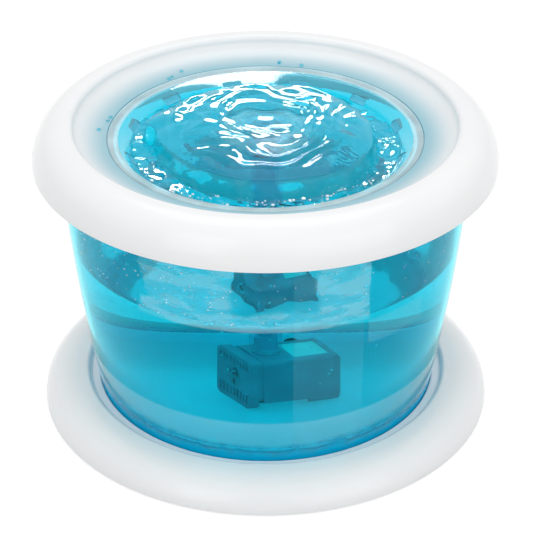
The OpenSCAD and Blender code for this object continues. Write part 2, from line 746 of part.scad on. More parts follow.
module flow_dial() {
    tab_w = 1.6;
    color(clear_blue) at_pump() difference() {
        union() {
            rod(intake_x, intake_x + dial_t - 0.1, dial_r);
            rod(intake_x, intake_x + dial_t + intake_wall, hub_pin_r);
            translate([intake_x - tab_h, -tab_w / 2, motor_z + 1]) cube([tab_h + 0.1, tab_w, dial_r - 2]);
        }
        for (turn = [60, 180, 300])
            translate([intake_x - tab_h - over, 0, motor_z]) rotate([turn, 0, 0])
                translate([0, -dial_hole_w / 2, dial_hole_z])
                    cube([dial_t + tab_h + 2 * over, dial_hole_w, dial_r - dial_hole_z - dial_rim]);
    }
}

base_ring();
rubber_feet();
bowl();
top_ring();
drinking_dish();
riser_tube();
bubble_nozzle();
pump_housing();
motor_lid();
chamber_cover();
chamber_seal();
outlet_nozzle();
cable_gland();
suction_cups();
stator_core();
stator_coil();
impeller_shaft();
front_bush();
rear_bush();
impeller();
rotor_magnet();
intake_cover();
prefilter_foam();
flow_dial();
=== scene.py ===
# Pet water fountain: smooth mouldings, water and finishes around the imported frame
import json
import math
import random

import bmesh
import bpy
from mathutils import Matrix, Vector, noise


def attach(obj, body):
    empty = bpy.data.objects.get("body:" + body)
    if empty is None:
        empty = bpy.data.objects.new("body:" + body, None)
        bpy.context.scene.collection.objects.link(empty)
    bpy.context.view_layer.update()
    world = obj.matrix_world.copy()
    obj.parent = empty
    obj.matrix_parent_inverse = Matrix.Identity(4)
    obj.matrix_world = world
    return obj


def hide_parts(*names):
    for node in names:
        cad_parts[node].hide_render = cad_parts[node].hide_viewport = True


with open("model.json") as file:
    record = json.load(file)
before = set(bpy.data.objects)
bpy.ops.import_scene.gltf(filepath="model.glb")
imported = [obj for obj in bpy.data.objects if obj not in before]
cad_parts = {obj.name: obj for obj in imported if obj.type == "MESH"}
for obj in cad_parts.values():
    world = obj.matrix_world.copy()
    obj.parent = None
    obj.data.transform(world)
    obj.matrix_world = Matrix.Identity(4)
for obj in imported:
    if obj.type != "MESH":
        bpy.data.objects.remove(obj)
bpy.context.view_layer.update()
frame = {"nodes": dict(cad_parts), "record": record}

mm = 0.001  # outlines are in millimetres, the scene and the shaders in metres
nodes = frame["nodes"]
scene = bpy.context.scene

# the photo's camera, fitted to the outlines of the rings, the bowl and the dish
cameraLook = {
    "place": (0.0, -1.0639, 0.7228),
    "tilt": 58.9,  # degrees from straight down
    "turn": -0.06,
    "lens": 138.2,
    "sensor": 36,  # along the longer side
}


def addObject(name, data):
    made = bpy.data.objects.new(name, data)
    scene.collection.objects.link(made)
    return made


def addCamera():
    data = bpy.data.cameras.new("camera")
    data.lens = cameraLook["lens"]
    data.sensor_width = cameraLook["sensor"]
    data.dof.use_dof = False
    camera = addObject("camera", data)
    camera.location = cameraLook["place"]
    camera.rotation_euler = (math.radians(cameraLook["tilt"]), 0, math.radians(cameraLook["turn"]))
    scene.camera = camera


class Wire:  # a shader socket that can take part in sums

    def __init__(self, finish, socket):
        self.finish = finish
        self.socket = socket

    def __add__(self, other):
        return self.finish.calc("ADD", self, other)

    def __radd__(self, other):
        return self.finish.calc("ADD", other, self)

    def __sub__(self, other):
        return self.finish.calc("SUBTRACT", self, other)

    def __rsub__(self, other):
        return self.finish.calc("SUBTRACT", other, self)

    def __mul__(self, other):
        return self.finish.calc("MULTIPLY", self, other)

    def __rmul__(self, other):
        return self.finish.calc("MULTIPLY", other, self)

    def __pow__(self, other):
        return self.finish.calc("POWER", self, other)


class Finish:  # the nodes of one material, or of the world

    def __init__(self, owner):
        owner.use_nodes = True
        self.owner = owner
        self.tree = owner.node_tree
        self.tree.nodes.clear()

    def node(self, kind, settings=None, sockets=None, out=None):
        made = self.tree.nodes.new(kind)
        for name, value in (settings or {}).items():
            setattr(made, name, value)
        for name, value in (sockets or {}).items():
            socket = self.pick(made.inputs, name)
            if isinstance(value, Wire):
                self.tree.links.new(value.socket, socket)
            else:
                socket.default_value = value
        if not len(made.outputs):
            return None
        return Wire(self, self.pick(made.outputs, out))

    def pick(self, sockets, name):
        if isinstance(name, int):
            return sockets[name]
        return next(s for s in sockets if s.enabled and name in (None, s.name))

    def calc(self, operation, *values):
        return self.node("ShaderNodeMath", {"operation": operation}, dict(enumerate(values)))

    def clamp(self, value):
        return self.calc("MINIMUM", self.calc("MAXIMUM", value, 0.0), 1.0)

    def blend(self, factor, first, second):
        return self.node("ShaderNodeMix", {"data_type": "RGBA"}, {"Factor": factor, "A": first, "B": second})

    def place(self):
        return self.node("ShaderNodeTexCoord", out="Object")

    def axes(self, vector=None):
        made = self.node("ShaderNodeSeparateXYZ", {}, {"Vector": vector or self.place()})
        return [Wire(self, s) for s in made.socket.node.outputs]

    def fromAxis(self):  # distance from the fountain's upright axis
        x, y, z = self.axes()
        return (x * x + y * y) ** 0.5

    def cloud(self, scale, detail=2.0, roughness=0.5, place=None):
        sockets = {"Vector": place or self.place(), "Scale": scale, "Detail": detail, "Roughness": roughness}
        return self.node("ShaderNodeTexNoise", {}, sockets, out="Fac")

    def cells(self, scale):
        sockets = {"Vector": self.place(), "Scale": scale}
        return self.node("ShaderNodeTexVoronoi", {}, sockets, out="Distance")

    def step(self, value, start, end):  # 0 below start, 1 above end
        return self.node("ShaderNodeMapRange", {"interpolation_type": "SMOOTHSTEP", "clamp": True},
                         {"Value": value, "From Min": start, "From Max": end})

    def between(self, value, rise, fall):  # 1 between the two soft edges, 0 outside them
        return self.step(value, *rise) * (1.0 - self.step(value, *fall))

    def bump(self, height, strength, distance, normal=None):
        sockets = {"Height": height, "Strength": strength, "Distance": distance}
        if normal:
            sockets["Normal"] = normal
        return self.node("ShaderNodeBump", {}, sockets)

    def light(self, name):
        return self.node("ShaderNodeLightPath", out=name)

    def surface(self, sockets):
        return self.node("ShaderNodeBsdfPrincipled", {}, sockets)

    def diffuse(self, tint):
        return self.node("ShaderNodeBsdfDiffuse", {}, {"Color": tint})

    def clear(self, tint):
        return self.node("ShaderNodeBsdfTransparent", {}, {"Color": tint})

    def layer(self, factor, under, top):
        return self.node("ShaderNodeMixShader", {}, {0: factor, 1: under, 2: top})

    def lit(self, solid, shadow):  # lamps shine through, so the shadow is only a tint
        return self.layer(self.light("Is Shadow Ray"), solid, self.clear(shadow))

    def finish(self, shader):
        self.node("ShaderNodeOutputMaterial", {}, {"Surface": shader})
        return self.owner


def newFinish(name):
    return Finish(bpy.data.materials.new(name))


def colour(red, green, blue):
    return (red, green, blue, 1.0)


white = colour(1, 1, 1)

whiteLook = {"colour": colour(0.865, 0.87, 0.877), "shade": colour(0.845, 0.852, 0.862), "gloss": 0.13,
             "flow": 14.0, "wave": 60.0, "waveDepth": 0.0006, "grain": 1400.0, "grainDepth": 0.0001}
# painted light: the blue that the dish casts on the white funnel is painted into its colour, less with the
# distance from the axis
funnelBlueCastLook = {"tint": colour(0.28, 0.53, 0.62), "radius": (0.0905, 0.112), "height": (0.168, 0.171)}


def whitePlastic(name, funnel=None):
    look = whiteLook
    f = newFinish(name)
    flow = f.cloud(look["flow"], 3.0)
    base = f.blend(f.step(flow, 0.3, 0.7), look["colour"], look["shade"])
    if funnel:
        x, y, z = f.axes()
        # painted light: the dish's blue cast, strongest near the funnel's seat
        near = (1.0 - f.step(f.fromAxis(), *funnel["radius"])) * f.step(z, *funnel["height"])
        base = f.blend(near * (0.8 + 0.4 * flow), base, funnel["tint"])
    ripple = f.bump(f.cloud(look["wave"], 1.0), 0.25, look["waveDepth"])
    return f.finish(f.surface({"Base Color": base, "Roughness": look["gloss"] + 0.05 * flow, "IOR": 1.5,
                               "Normal": f.bump(f.cloud(look["grain"]), 0.05, look["grainDepth"], ripple)}))


# pairs are soft edges: where a mask starts to change and where it is done
bowlLook = {
    "tint": colour(0.01, 0.65, 0.75),
    "shadow": colour(0.97, 0.995, 1.0),
    "index": 1.2,
    "mirror": colour(0.1, 0.85, 1.0),
    "coat": {"index": 1.8, "rough": 0.03, "low": (-0.001, 0.001), "high": (0.0425, 0.0445)},  # glossy foot
    "deep": {"colour": colour(0.0, 0.40, 0.66), "share": 0.95, "tear": 0.010, "tearScale": 90.0,
             "height": (0.016, 0.027), "radius": (0.0925, 0.0945)},  # painted shade: the foot where it stands in the ring is drawn as a darker, nearly opaque blue
    # painted reflection: a pale diffuse layer on the front of the wall stands for reflections in it
    "paintedReflection": {"milk": colour(0.75, 0.95, 1.0), "tear": 0.034, "tearScale": 30.0, "front": (-0.05, -0.03),
             "streak": (0.40, 0.56), "streakScale": 48.0, "stretch": (1.0, 1.0, 3.5)},
}
# parts of the painted reflection on the front of the wall: pale patches that stand for reflections seen in
# it
paintedReflectionParts = {
    "patch": {"share": 0.17, "left": (-0.070, -0.067), "right": (0.0560, 0.0575), "low": (0.1096, 0.1106)},
    "gap": {"share": 0.85, "left": (-0.020, -0.015), "right": (0.028, 0.032), "low": (0.120, 0.124)},
    "strip": {"share": 0.026, "left": (0.0150, 0.0156), "right": (0.0540, 0.0550)},
    "shelf": {"share": 0.06, "left": (0.0560, 0.0575), "right": (0.086, 0.089), "low": (0.091, 0.094),
              "high": (0.1085, 0.1095)},
}
dishLook = {
    "tint": colour(0.10, 0.67, 0.79),
    "shadow": colour(0.92, 0.985, 0.99),
    "index": 1.2,
    "coat": {"index": 1.45, "rough": 0.1, "low": (0.1655, 0.1675), "high": (0.189, 0.191)},
    "wet": {"strength": 0.22, "scale": 170.0, "depth": 0.0012},
    "haze": {"milk": colour(0.72, 0.93, 0.97), "share": 0.045, "low": (0.1655, 0.1675)},
}
# painted light: the rim gets a pale diffuse layer, so the shaded seat under it does not show dark
rimLook = {"tint": colour(0.5, 0.86, 0.93), "shadow": colour(0.97, 0.99, 1.0), "index": 1.06,
           "haze": {"milk": colour(0.70, 0.88, 0.93), "share": 0.6, "low": (0.0, 0.002)}}
waterLook = {"tint": colour(0.88, 0.985, 0.995), "shadow": colour(0.985, 0.997, 1.0), "index": 1.333}
contactLook = {"tint": white, "shadow": white, "index": 1.0}  # where water touches plastic
# painted light: clear water drops on the funnel carry the dish's blue in their tint
blueDropLook = {"tint": colour(0.25, 0.78, 0.9), "shadow": colour(0.8, 0.95, 1.0), "index": 1.333}
spillLook = {"tint": colour(0.02, 0.5, 0.66), "shadow": colour(0.8, 0.95, 1.0), "index": 1.1,
             "haze": {"milk": colour(0.2, 0.62, 0.75), "share": 0.5, "low": (0.0, 0.002)}}


def clearPlastic(name, look, rough=0.012):
    f = newFinish(name)
    cloud = f.cloud(35.0, 3.0)
    sockets = {"Base Color": look["tint"], "Roughness": rough + 0.02 * cloud, "IOR": look["index"],
               "Transmission Weight": 1.0, "Specular Tint": look.get("mirror", white)}
    x, y, z = f.axes()
    if "coat" in look:
        coat = look["coat"]
        sockets["Coat Weight"] = f.between(z, coat["low"], coat["high"])
        sockets["Coat IOR"] = coat["index"]
        sockets["Coat Roughness"] = coat["rough"]
    if "wet" in look:
        wet = look["wet"]
        sockets["Normal"] = f.bump(f.cloud(wet["scale"]), wet["strength"], wet["depth"])
    solid = f.surface(sockets)
    if "paintedReflection" in look:
        # painted reflection: a pale diffuse layer mixed into the wall where the mask says
        solid = f.layer(paintedReflectionMask(f, look["paintedReflection"]), solid, f.diffuse(look["paintedReflection"]["milk"]))
    if "deep" in look:
        # painted shade: the foot is mixed towards a darker blue diffuse
        deep = look["deep"]
        low = 1.0 - f.step(z + deep["tear"] * (f.cloud(deep["tearScale"], 3.0) - 0.5), *deep["height"])
        low = deep["share"] * low * f.step(f.fromAxis(), *deep["radius"])
        solid = f.layer(low, solid, f.diffuse(deep["colour"]))
    if "haze" in look:
        haze = look["haze"]
        dry = haze["share"] * (0.5 + cloud) * f.step(z, *haze["low"])
        solid = f.layer(dry, solid, f.diffuse(haze["milk"]))
    return f.finish(f.lit(solid, look["shadow"]))


def paintedReflectionMask(f, look):  # painted reflection: a torn pale patch above the water with a gap in it, an upright strip and a shelf
    x, y, z = f.axes()
    tear = look["tear"] * (f.cloud(look["tearScale"], 4.0, 0.6) - 0.5)
    long = f.node("ShaderNodeVectorMath", {"operation": "MULTIPLY"}, {0: f.place(), 1: look["stretch"]})
    streak = f.step(f.cloud(look["streakScale"], 3.0, 0.5, long), *look["streak"])
    part = paintedReflectionParts["patch"]
    patch = part["share"] * f.step(x + tear, *part["left"]) * (1.0 - f.step(x + 0.3 * tear, *part["right"]))
    patch = patch * f.step(z, *part["low"]) * (0.45 + 0.75 * streak)
    part = paintedReflectionParts["gap"]
    gap = part["share"] * f.step(x + tear, *part["left"]) * (1.0 - f.step(x - tear, *part["right"]))
    gap = gap * f.step(z + 0.5 * tear, *part["low"])
    part = paintedReflectionParts["strip"]
    strip = part["share"] * f.between(x, part["left"], part["right"])
    part = paintedReflectionParts["shelf"]
    shelf = part["share"] * f.between(x, part["left"], part["right"])
    shelf = shelf * f.between(z, part["low"], part["high"])
    return (1.0 - f.step(y, *look["front"])) * (patch * (1.0 - gap) + strip + shelf)


tubeLook = {"body": colour(0.05, 0.5, 0.62), "pale": colour(0.2, 0.7, 0.8),
            "clear": colour(0.72, 0.94, 0.975), "solid": 0.1}
outletLook = {"body": colour(0.12, 0.72, 0.88), "pale": colour(0.2, 0.7, 0.8),
              "clear": colour(0.65, 0.93, 0.97), "solid": 0.5}


def soakedPlastic(name, look):  # clear plastic under water hardly bends light
    f = newFinish(name)
    haze = f.cloud(240.0, 3.0)
    body = f.blend(haze, look["body"], look["pale"])
    solid = f.surface({"Base Color": body, "Roughness": 0.08 + 0.1 * haze})
    shown = look["solid"] * (1.0 - f.light("Is Shadow Ray")) * (0.7 + 0.6 * haze)
    return f.finish(f.layer(shown, f.clear(look["clear"]), solid))


floorShade = {"light": colour(0.05, 0.84, 0.97), "dark": colour(0.03, 0.74, 0.9), "clear": 0.55,
              "glow": colour(0.0, 0.14, 0.15), "back": (-0.03, 0.08)}  # painted light: the back of the floor glows faintly


def frostedPlastic(name, look):  # the bowl's floor is textured, so it scatters light
    f = newFinish(name)
    speck = f.cloud(900.0, 3.0)
    x, y, z = f.axes()
    # painted light: a faint blue-green glow painted on the back of the floor
    glow = f.blend(f.step(y, *look["back"]) * (0.7 + 0.6 * speck), colour(0, 0, 0), look["glow"])
    solid = f.surface({"Base Color": f.blend(speck, look["dark"], look["light"]), "IOR": 1.2,
                       "Roughness": 0.3 + 0.2 * speck, "Transmission Weight": look["clear"],
                       "Emission Color": glow, "Emission Strength": 1.0,
                       "Normal": f.bump(speck, 0.2, 0.0003)})
    return f.finish(f.lit(solid, bowlLook["shadow"]))


pumpLook = {"base": colour(0.24, 0.275, 0.36), "worn": colour(0.33, 0.37, 0.46),
            "rough": 0.42, "grain": 0.4}
impellerLook = {"base": colour(0.55, 0.55, 0.52), "worn": colour(0.66, 0.66, 0.63),
                "rough": 0.35, "grain": 0.1}
magnetLook = {"base": colour(0.02, 0.02, 0.021), "worn": colour(0.035, 0.034, 0.034),
              "rough": 0.5, "grain": 0.4}
# the panel sunk in the pump's top is drawn paler; turn is the pump's own, in degrees
panelLook = {"colour": colour(0.90, 0.87, 0.83), "turn": 20, "tear": 0.0012, "start": (0.0082, 0.0086),
             "end": (0.0241, 0.0244), "side": (0.0121, 0.0124), "low": (0.0486, 0.0489),
             "high": (0.0494, 0.0497)}


def darkPlastic(name, look, panel=None):
    f = newFinish(name)
    mottle = f.cloud(60.0, 4.0)
    paint = f.blend(f.step(mottle, 0.35, 0.75), look["base"], look["worn"])
    if panel:
        turned = f.node("ShaderNodeVectorRotate", {"rotation_type": "Z_AXIS"},
                        {"Vector": f.place(), "Angle": -math.radians(panel["turn"])})
        x, y, z = f.axes(turned)
        x = x + panel["tear"] * (f.cloud(260.0) - 0.5)
        inside = f.between(x, panel["start"], panel["end"]) * f.between(z, panel["low"], panel["high"])
        inside = inside * (1.0 - f.step(f.calc("ABSOLUTE", y), *panel["side"]))
        paint = f.blend(inside * (0.35 + mottle), paint, panel["colour"])
    return f.finish(f.surface({"Base Color": paint, "Roughness": look["rough"] + 0.16 * mottle,
                               "Normal": f.bump(f.cells(3000.0), look["grain"], 0.0002)}))


def rubber(name, base, worn):
    f = newFinish(name)
    dust = f.cloud(150.0, 4.0)
    return f.finish(f.surface({"Base Color": f.blend(dust, base, worn), "Roughness": 0.62 + 0.2 * dust,
                               "Specular IOR Level": 0.35, "Normal": f.bump(f.cloud(2200.0), 0.2, 0.0001)}))


# lines is how close the turned or stacked lines lie, as an angle per metre
shaftLook = {"base": colour(0.62, 0.63, 0.65), "worn": colour(0.55, 0.56, 0.58),
             "rough": 0.16, "lines": 9000.0}
coreLook = {"base": colour(0.32, 0.33, 0.35), "worn": colour(0.2, 0.2, 0.22),
            "rough": 0.4, "lines": 12000.0}
coilLook = {"base": colour(0.78, 0.32, 0.14), "worn": colour(0.45, 0.15, 0.06),
            "rough": 0.3, "lines": 16000.0}


def metal(name, look):
    f = newFinish(name)
    x, y, z = f.axes()
    streak = f.calc("SINE", look["lines"] * (z + 0.0002 * f.cloud(400.0)))
    base = f.blend(f.step(streak, -0.5, 1.0), look["base"], look["worn"])
    return f.finish(f.surface({"Base Color": base, "Metallic": 1.0,
                               "Roughness": look["rough"] + 0.08 * f.cloud(500.0),
                               "Normal": f.bump(streak, 0.3, 0.00005)}))


def foam(name, pore, body):
    f = newFinish(name)
    pores = f.cells(1500.0)
    return f.finish(f.surface({"Base Color": f.blend(f.step(pores, 0.1, 0.6), pore, body), "Roughness": 0.85,
                               "Normal": f.bump(pores, 0.9, 0.0006)}))


finishes = {
    "white_plastic": whitePlastic("whitePlastic"),
    "funnel": whitePlastic("whiteFunnelPlasticPaintedBlueCast", funnelBlueCastLook),
    "clear_blue_plastic": clearPlastic("clearBluePlastic", bowlLook),
    "dish": clearPlastic("paleBluePlastic", dishLook),
    "rim": clearPlastic("thinBluePlastic", rimLook),
    "tube": soakedPlastic("soakedPlastic", tubeLook),
    "outlet": soakedPlastic("outletPlastic", outletLook),
    "dark_grey_plastic": darkPlastic("darkGreyPlastic", pumpLook, panelLook),
    "impeller_plastic": darkPlastic("impellerPlastic", impellerLook),
    "grey_rubber": rubber("greyRubber", colour(0.05, 0.055, 0.06), colour(0.09, 0.095, 0.1)),
    "black_rubber": rubber("blackRubber", colour(0.01, 0.01, 0.011), colour(0.022, 0.022, 0.024)),
    "dark_rubber": rubber("darkRubber", colour(0.018, 0.024, 0.028), colour(0.04, 0.048, 0.054)),
    "magnet_ferrite": darkPlastic("magnetFerrite", magnetLook),
    "shaft_steel": metal("shaftSteel", shaftLook),
    "core_steel": metal("coreSteel", coreLook),
    "copper_winding": metal("copperWinding", coilLook),
    "filter_foam": foam("filterFoam", colour(0.004, 0.005, 0.006), colour(0.03, 0.034, 0.038)),
}
water = clearPlastic("clearWater", waterLook, 0.0)
frosted = frostedPlastic("frostedPlastic", floorShade)
blueDrop = clearPlastic("blueDrop", blueDropLook)
spill = clearPlastic("spillWater", spillLook)
contact = clearPlastic("waterContact", contactLook, 0.0)

slotOf = {part["node"]: part["material_slot"] for part in frame["record"]["subparts"]}
# these stand in water, so they get a look of their own
wetNodes = {"riser_tube": "tube", "bubble_nozzle": "tube", "outlet_nozzle": "outlet"}


def dress(piece, *looks):  # the number on a face picks its look, and the last look takes the rest
    chosen = [polygon.material_index for polygon in piece.data.polygons]
    piece.data.materials.clear()
    for look in looks:
        piece.data.materials.append(look)
    piece.data.polygons.foreach_set("material_index", [min(i, len(looks) - 1) for i in chosen])


def shadeSmooth(mesh):
    mesh.polygons.foreach_set("use_smooth", [True] * len(mesh.polygons))


def shadeCurved(mesh):  # smooth, but sharp at real edges
    shadeSmooth(mesh)
    mesh.set_sharp_from_angle(angle=math.radians(35))


def weld(name, mesh):
    form = bmesh.new()
    form.from_mesh(mesh)
    bmesh.ops.remove_doubles(form, verts=form.verts, dist=1e-7)
    bmesh.ops.recalc_face_normals(form, faces=form.faces)
    form.to_mesh(mesh)
    form.free()
    shadeCurved(mesh)
    return addObject(name, mesh)


def lathe(name, outline, turns=192, bend=None, start=0.0, sweep=360.0, second=None):
    # turns a closed outline of (radius, height) points in millimetres round the axis;
    # bend(row, radius, height, angle) moves a point, second(row) gives the number of the row's material
    whole = sweep >= 360.0
    count = turns if whole else turns + 1
    rows = len(outline)
    onAxis = [radius < 1e-6 for radius, height in outline]
    verts, faces, rings, seconds = [], [], [], []
    for row, (radius, height) in enumerate(outline):
        if onAxis[row] and bend is None:
            rings.append([len(verts)] * count)
            verts.append((0.0, 0.0, height * mm))
            continue
        rings.append(list(range(len(verts), len(verts) + count)))
        for i in range(count):
            angle = math.radians(start + sweep * i / turns)
            r, z = bend(row, radius, height, angle) if bend else (radius, height)
            verts.append((r * mm * math.cos(angle), r * mm * math.sin(angle), z * mm))
    for row in range(rows):
        after = (row + 1) % rows
        if onAxis[row] and onAxis[after]:
            continue
        low, high = rings[row], rings[after]
        for i in range(turns):
            j = (i + 1) % count if whole else i + 1
            corners = []
            for v in (low[i], low[j], high[j], high[i]):
                if v not in corners:
                    corners.append(v)
            if len(corners) > 2:
                faces.append(corners)
                seconds.append(int(second(row)) if second else 0)
    if not whole:
        faces.append([ring[0] for ring in rings][::-1])
        faces.append([ring[-1] for ring in rings])
        seconds += [0, 0]
    mesh = bpy.data.meshes.new(name)
    mesh.from_pydata(verts, [], faces)
    mesh.polygons.foreach_set("material_index", seconds)
    return weld(name, mesh)


def arc(centreR, centreZ, radiusR, radiusZ, fromAngle, toAngle, steps=10, skip=0):
    points = []
    for i in range(skip, steps + 1):
        a = math.radians(fromAngle + (toAngle - fromAngle) * i / steps)
        points.append((centreR + radiusR * math.cos(a), centreZ + radiusZ * math.sin(a)))
    return points


def spread(first, last, steps):
    return [first + (last - first) * i / steps for i in range(steps + 1)]


def ease(t):
    return (1 - math.cos(math.pi * min(max(t, 0.0), 1.0))) / 2


def swell(x, y, pitch, seed):
    return noise.noise(Vector((x / pitch, y / pitch, seed)))


def around(angle, radius, z):  # a place, and the way out from the axis there
    a = math.radians(angle)
    return Vector((radius * math.cos(a), radius * math.sin(a), z)), Vector((math.cos(a), math.sin(a), 0))


def join(name, pieces):
    form = bmesh.new()
    for piece in pieces:
        form.from_mesh(piece.data)
    mesh = bpy.data.meshes.new(name)
    form.to_mesh(mesh)
    form.free()
    for piece in pieces:
        bpy.data.objects.remove(piece)
    return addObject(name, mesh)


def plate(name, outline, thick, angle):
    # an upright plate along a radius, from its (radius, height) outline
    a = math.radians(angle)
    along, across = Vector((math.cos(a), math.sin(a), 0)), Vector((-math.sin(a), math.cos(a), 0))
    verts, count = [], len(outline)
    for side in (-0.5, 0.5):
        for radius, height in outline:
            verts.append((along * radius + across * side * thick + Vector((0, 0, height))) * mm)
    faces = [list(range(count))[::-1], list(range(count, 2 * count))]
    faces += [[i, (i + 1) % count, (i + 1) % count + count, i + count] for i in range(count)]
    mesh = bpy.data.meshes.new(name)
    mesh.from_pydata(verts, [], faces)
    return weld(name, mesh)


def cut(piece, cutters):
    for cutter in cutters:
        tool = piece.modifiers.new("cut", "BOOLEAN")
        tool.operation = "DIFFERENCE"
        tool.solver = "EXACT"
        tool.object = cutter
    graph = bpy.context.evaluated_depsgraph_get()
    mesh = bpy.data.meshes.new_from_object(piece.evaluated_get(graph))
    piece.modifiers.clear()
    piece.data = mesh
    for cutter in cutters:
        bpy.data.objects.remove(cutter)
    shadeCurved(mesh)


def block(name, low, high, turn=0.0):
    xs, ys, zs = zip(low, high)
    spin = Matrix.Rotation(math.radians(turn), 3, "Z")
    verts = [spin @ (Vector((x, y, z)) * mm) for z in zs for y in ys for x in xs]
    faces = [(0, 2, 3, 1), (4, 5, 7, 6), (0, 1, 5, 4), (2, 6, 7, 3), (0, 4, 6, 2), (1, 3, 7, 5)]
    mesh = bpy.data.meshes.new(name)
    mesh.from_pydata(verts, [], faces)
    return addObject(name, mesh)


bowlSize = {"footZ": 4.5, "height": 162.5, "footR": 99.3, "rimR": 119.3, "bulge": 3.0, "wall": 2.6,
            "skirtT": 3.12, "floorUnder": 14.0, "floorTop": 17.0, "fillet": 6.0, "bevel": 0.3,
            "rimOuter": 0.8, "rimInner": 0.6, "notchW": 10.0, "notchD": 8.0, "notchR": (90, 130)}


def bowlR(z):
    s = bowlSize
    t = (z - s["footZ"]) / s["height"]
    return s["footR"] + (s["rimR"] - s["footR"]) * t + 4 * s["bulge"] * t * (1 - t)


def makeBowl():
    s = bowlSize
    foot, under, wall, bevel, steps = s["footZ"], s["floorUnder"], s["wall"], s["bevel"], 48
    top, high = foot + s["height"], s["floorTop"] + s["fillet"]
    footR, topR = bowlR(foot), bowlR(top)
    outside, inside = s["rimOuter"], s["rimInner"]
    outline = [(0.0, under), (footR - s["skirtT"] - 1.5, under), (footR - s["skirtT"] - bevel, under - 1.0),
               (footR - wall + bevel, foot + bevel), (footR - wall + 0.8, foot), (footR - 0.5, foot)]
    outline += [(bowlR(z), z) for z in spread(foot + 0.6, top - outside, steps)]
    outline += arc(topR - outside, top - outside, outside, outside, 25, 90, 4)
    outline += arc(topR - wall + inside, top - inside, inside, inside, 90, 180, 4)
    outline += [(bowlR(z) - wall, z) for z in spread(top - 2 * inside, high, steps)]
    floorFrom = len(outline)
    outline += arc(bowlR(high) - wall - s["fillet"], high, s["fillet"], s["fillet"], -6, -90)
    outline += [(0.0, s["floorTop"])]
    piece = lathe("bowlShell", outline, 256, second=lambda row: row >= floorFrom)
    dress(piece, finishes["clear_blue_plastic"], frosted)
    (near, far), half = s["notchR"], s["notchW"] / 2
    cut(piece, [block("notch", (-half, near, top - s["notchD"]), (half, far, top + 5))])
    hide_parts("bowl")
    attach(piece, "bowl")


baseSize = {"outerR": 135.0, "lipZ": 1.0, "rollW": 20.0075, "crestZ": 18.0, "edgeRound": 3.0, "gutterW": 5.6,
            "gutterZ": 14.6, "ledgeZ": 4.5, "boreR": 84.0, "gap": 0.4, "wall": 2.4, "bevel": 0.5,
            "ribs": 16, "ribT": 2.0, "ribZ": 2.5}
# each rubber foot sits in the recess of a boss
bossSize = {"count": 6, "circleR": 115.0, "outerR": 7.3, "recessR": 5.6, "lowZ": 1.6, "recessZ": 3.2,
            "topZ": 14.0}


def baseSkin(inset):
    s = baseSize
    lowR, highR = bowlR(s["ledgeZ"]) + s["gap"], bowlR(s["gutterZ"]) + s["gap"]
    edgeR = highR + s["gutterW"]
    points = arc(s["outerR"] - s["rollW"], s["lipZ"], s["rollW"] - inset, s["crestZ"] - s["lipZ"] - inset,
                 0, 90, 36)
    points += arc(edgeR + s["edgeRound"], s["crestZ"] - s["edgeRound"], s["edgeRound"] - inset,
                  s["edgeRound"] - inset, 90, 180)
    points += [(edgeR + inset - 0.6, s["gutterZ"] - inset), (highR + inset, s["gutterZ"] - inset),
               (lowR + inset, s["ledgeZ"] - inset)]
    return points


def makeBaseRing():
    s, b = baseSize, bossSize
    bevel = s["bevel"]
    outer, inner = baseSkin(0.0), baseSkin(s["wall"])
    (edgeR, gutterZ), (highR, gutterZ), ledge = outer[-3:]
    outline = outer[:-3] + [(edgeR + bevel / 2, gutterZ + bevel), (edgeR - 0.35, gutterZ),
                            (highR + bevel, gutterZ), (highR - 0.1, gutterZ - bevel),
                            ledge, (s["boreR"] + bevel, s["ledgeZ"]), (s["boreR"], s["ledgeZ"] - bevel),
                            (s["boreR"], s["ledgeZ"] - s["wall"])] + inner[::-1]
    pieces = [lathe("skin", outline, 256)]
    mid = [p for p in baseSkin(s["wall"] / 2) if p[1] >= s["ribZ"]]
    rib = [(mid[0][0], s["ribZ"])] + mid + [(mid[-1][0], s["ribZ"])]
    for i in range(s["ribs"]):
        pieces.append(plate("rib", rib, s["ribT"], (i + 0.5) * 360 / s["ribs"]))
    boss = [(0.0, b["recessZ"]), (b["recessR"], b["recessZ"]), (b["recessR"], b["lowZ"]),
            (b["outerR"], b["lowZ"]), (b["outerR"], b["topZ"]), (0.0, b["topZ"])]
    for i in range(b["count"]):
        place = around(360 / b["count"] * i, b["circleR"], 0)[0]
        one = lathe("boss", boss, 48)
        one.data.transform(Matrix.Translation(place * mm))
        pieces.append(one)
    piece = join("baseMoulding", pieces)
    dress(piece, finishes["white_plastic"])
    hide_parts("base_ring")
    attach(piece, "base")


topSize = {"outerR": 135.0, "edgeZ": 160.5, "rollH": 23.0, "rollW": 19.5, "rollSteps": 36, "crestW": 1.6,
           "edgeRound": 3.2, "funnelDrop": 7.9, "seatR": 91.6, "seatZ": 170.8, "ledgeR": 87.5, "bevel": 0.3,
           "collarR": 115.33, "collarT": 2.2, "collarZ": 150.0, "cableHalf": 6.0, "wall": 2.4,
           "ribs": 16, "ribT": 2.0, "ribZ": 167.0}


def throatR():
    s = topSize
    return s["outerR"] - s["rollW"] - s["crestW"] - s["edgeRound"]


def topSkin(inset):
    s = topSize
    throat, crest = throatR(), s["edgeZ"] + s["rollH"]
    points = arc(s["outerR"] - s["rollW"], s["edgeZ"], s["rollW"] - inset, s["rollH"] - inset,
                 0, 90, s["rollSteps"])
    points += arc(throat + s["edgeRound"], crest - s["edgeRound"], s["edgeRound"] - inset,
                  s["edgeRound"] - inset, 90, 180)
    points += arc(s["seatR"], crest - s["edgeRound"], throat - s["seatR"] + inset, s["funnelDrop"] + inset,
                  0, -90, 28, 1)
    return points


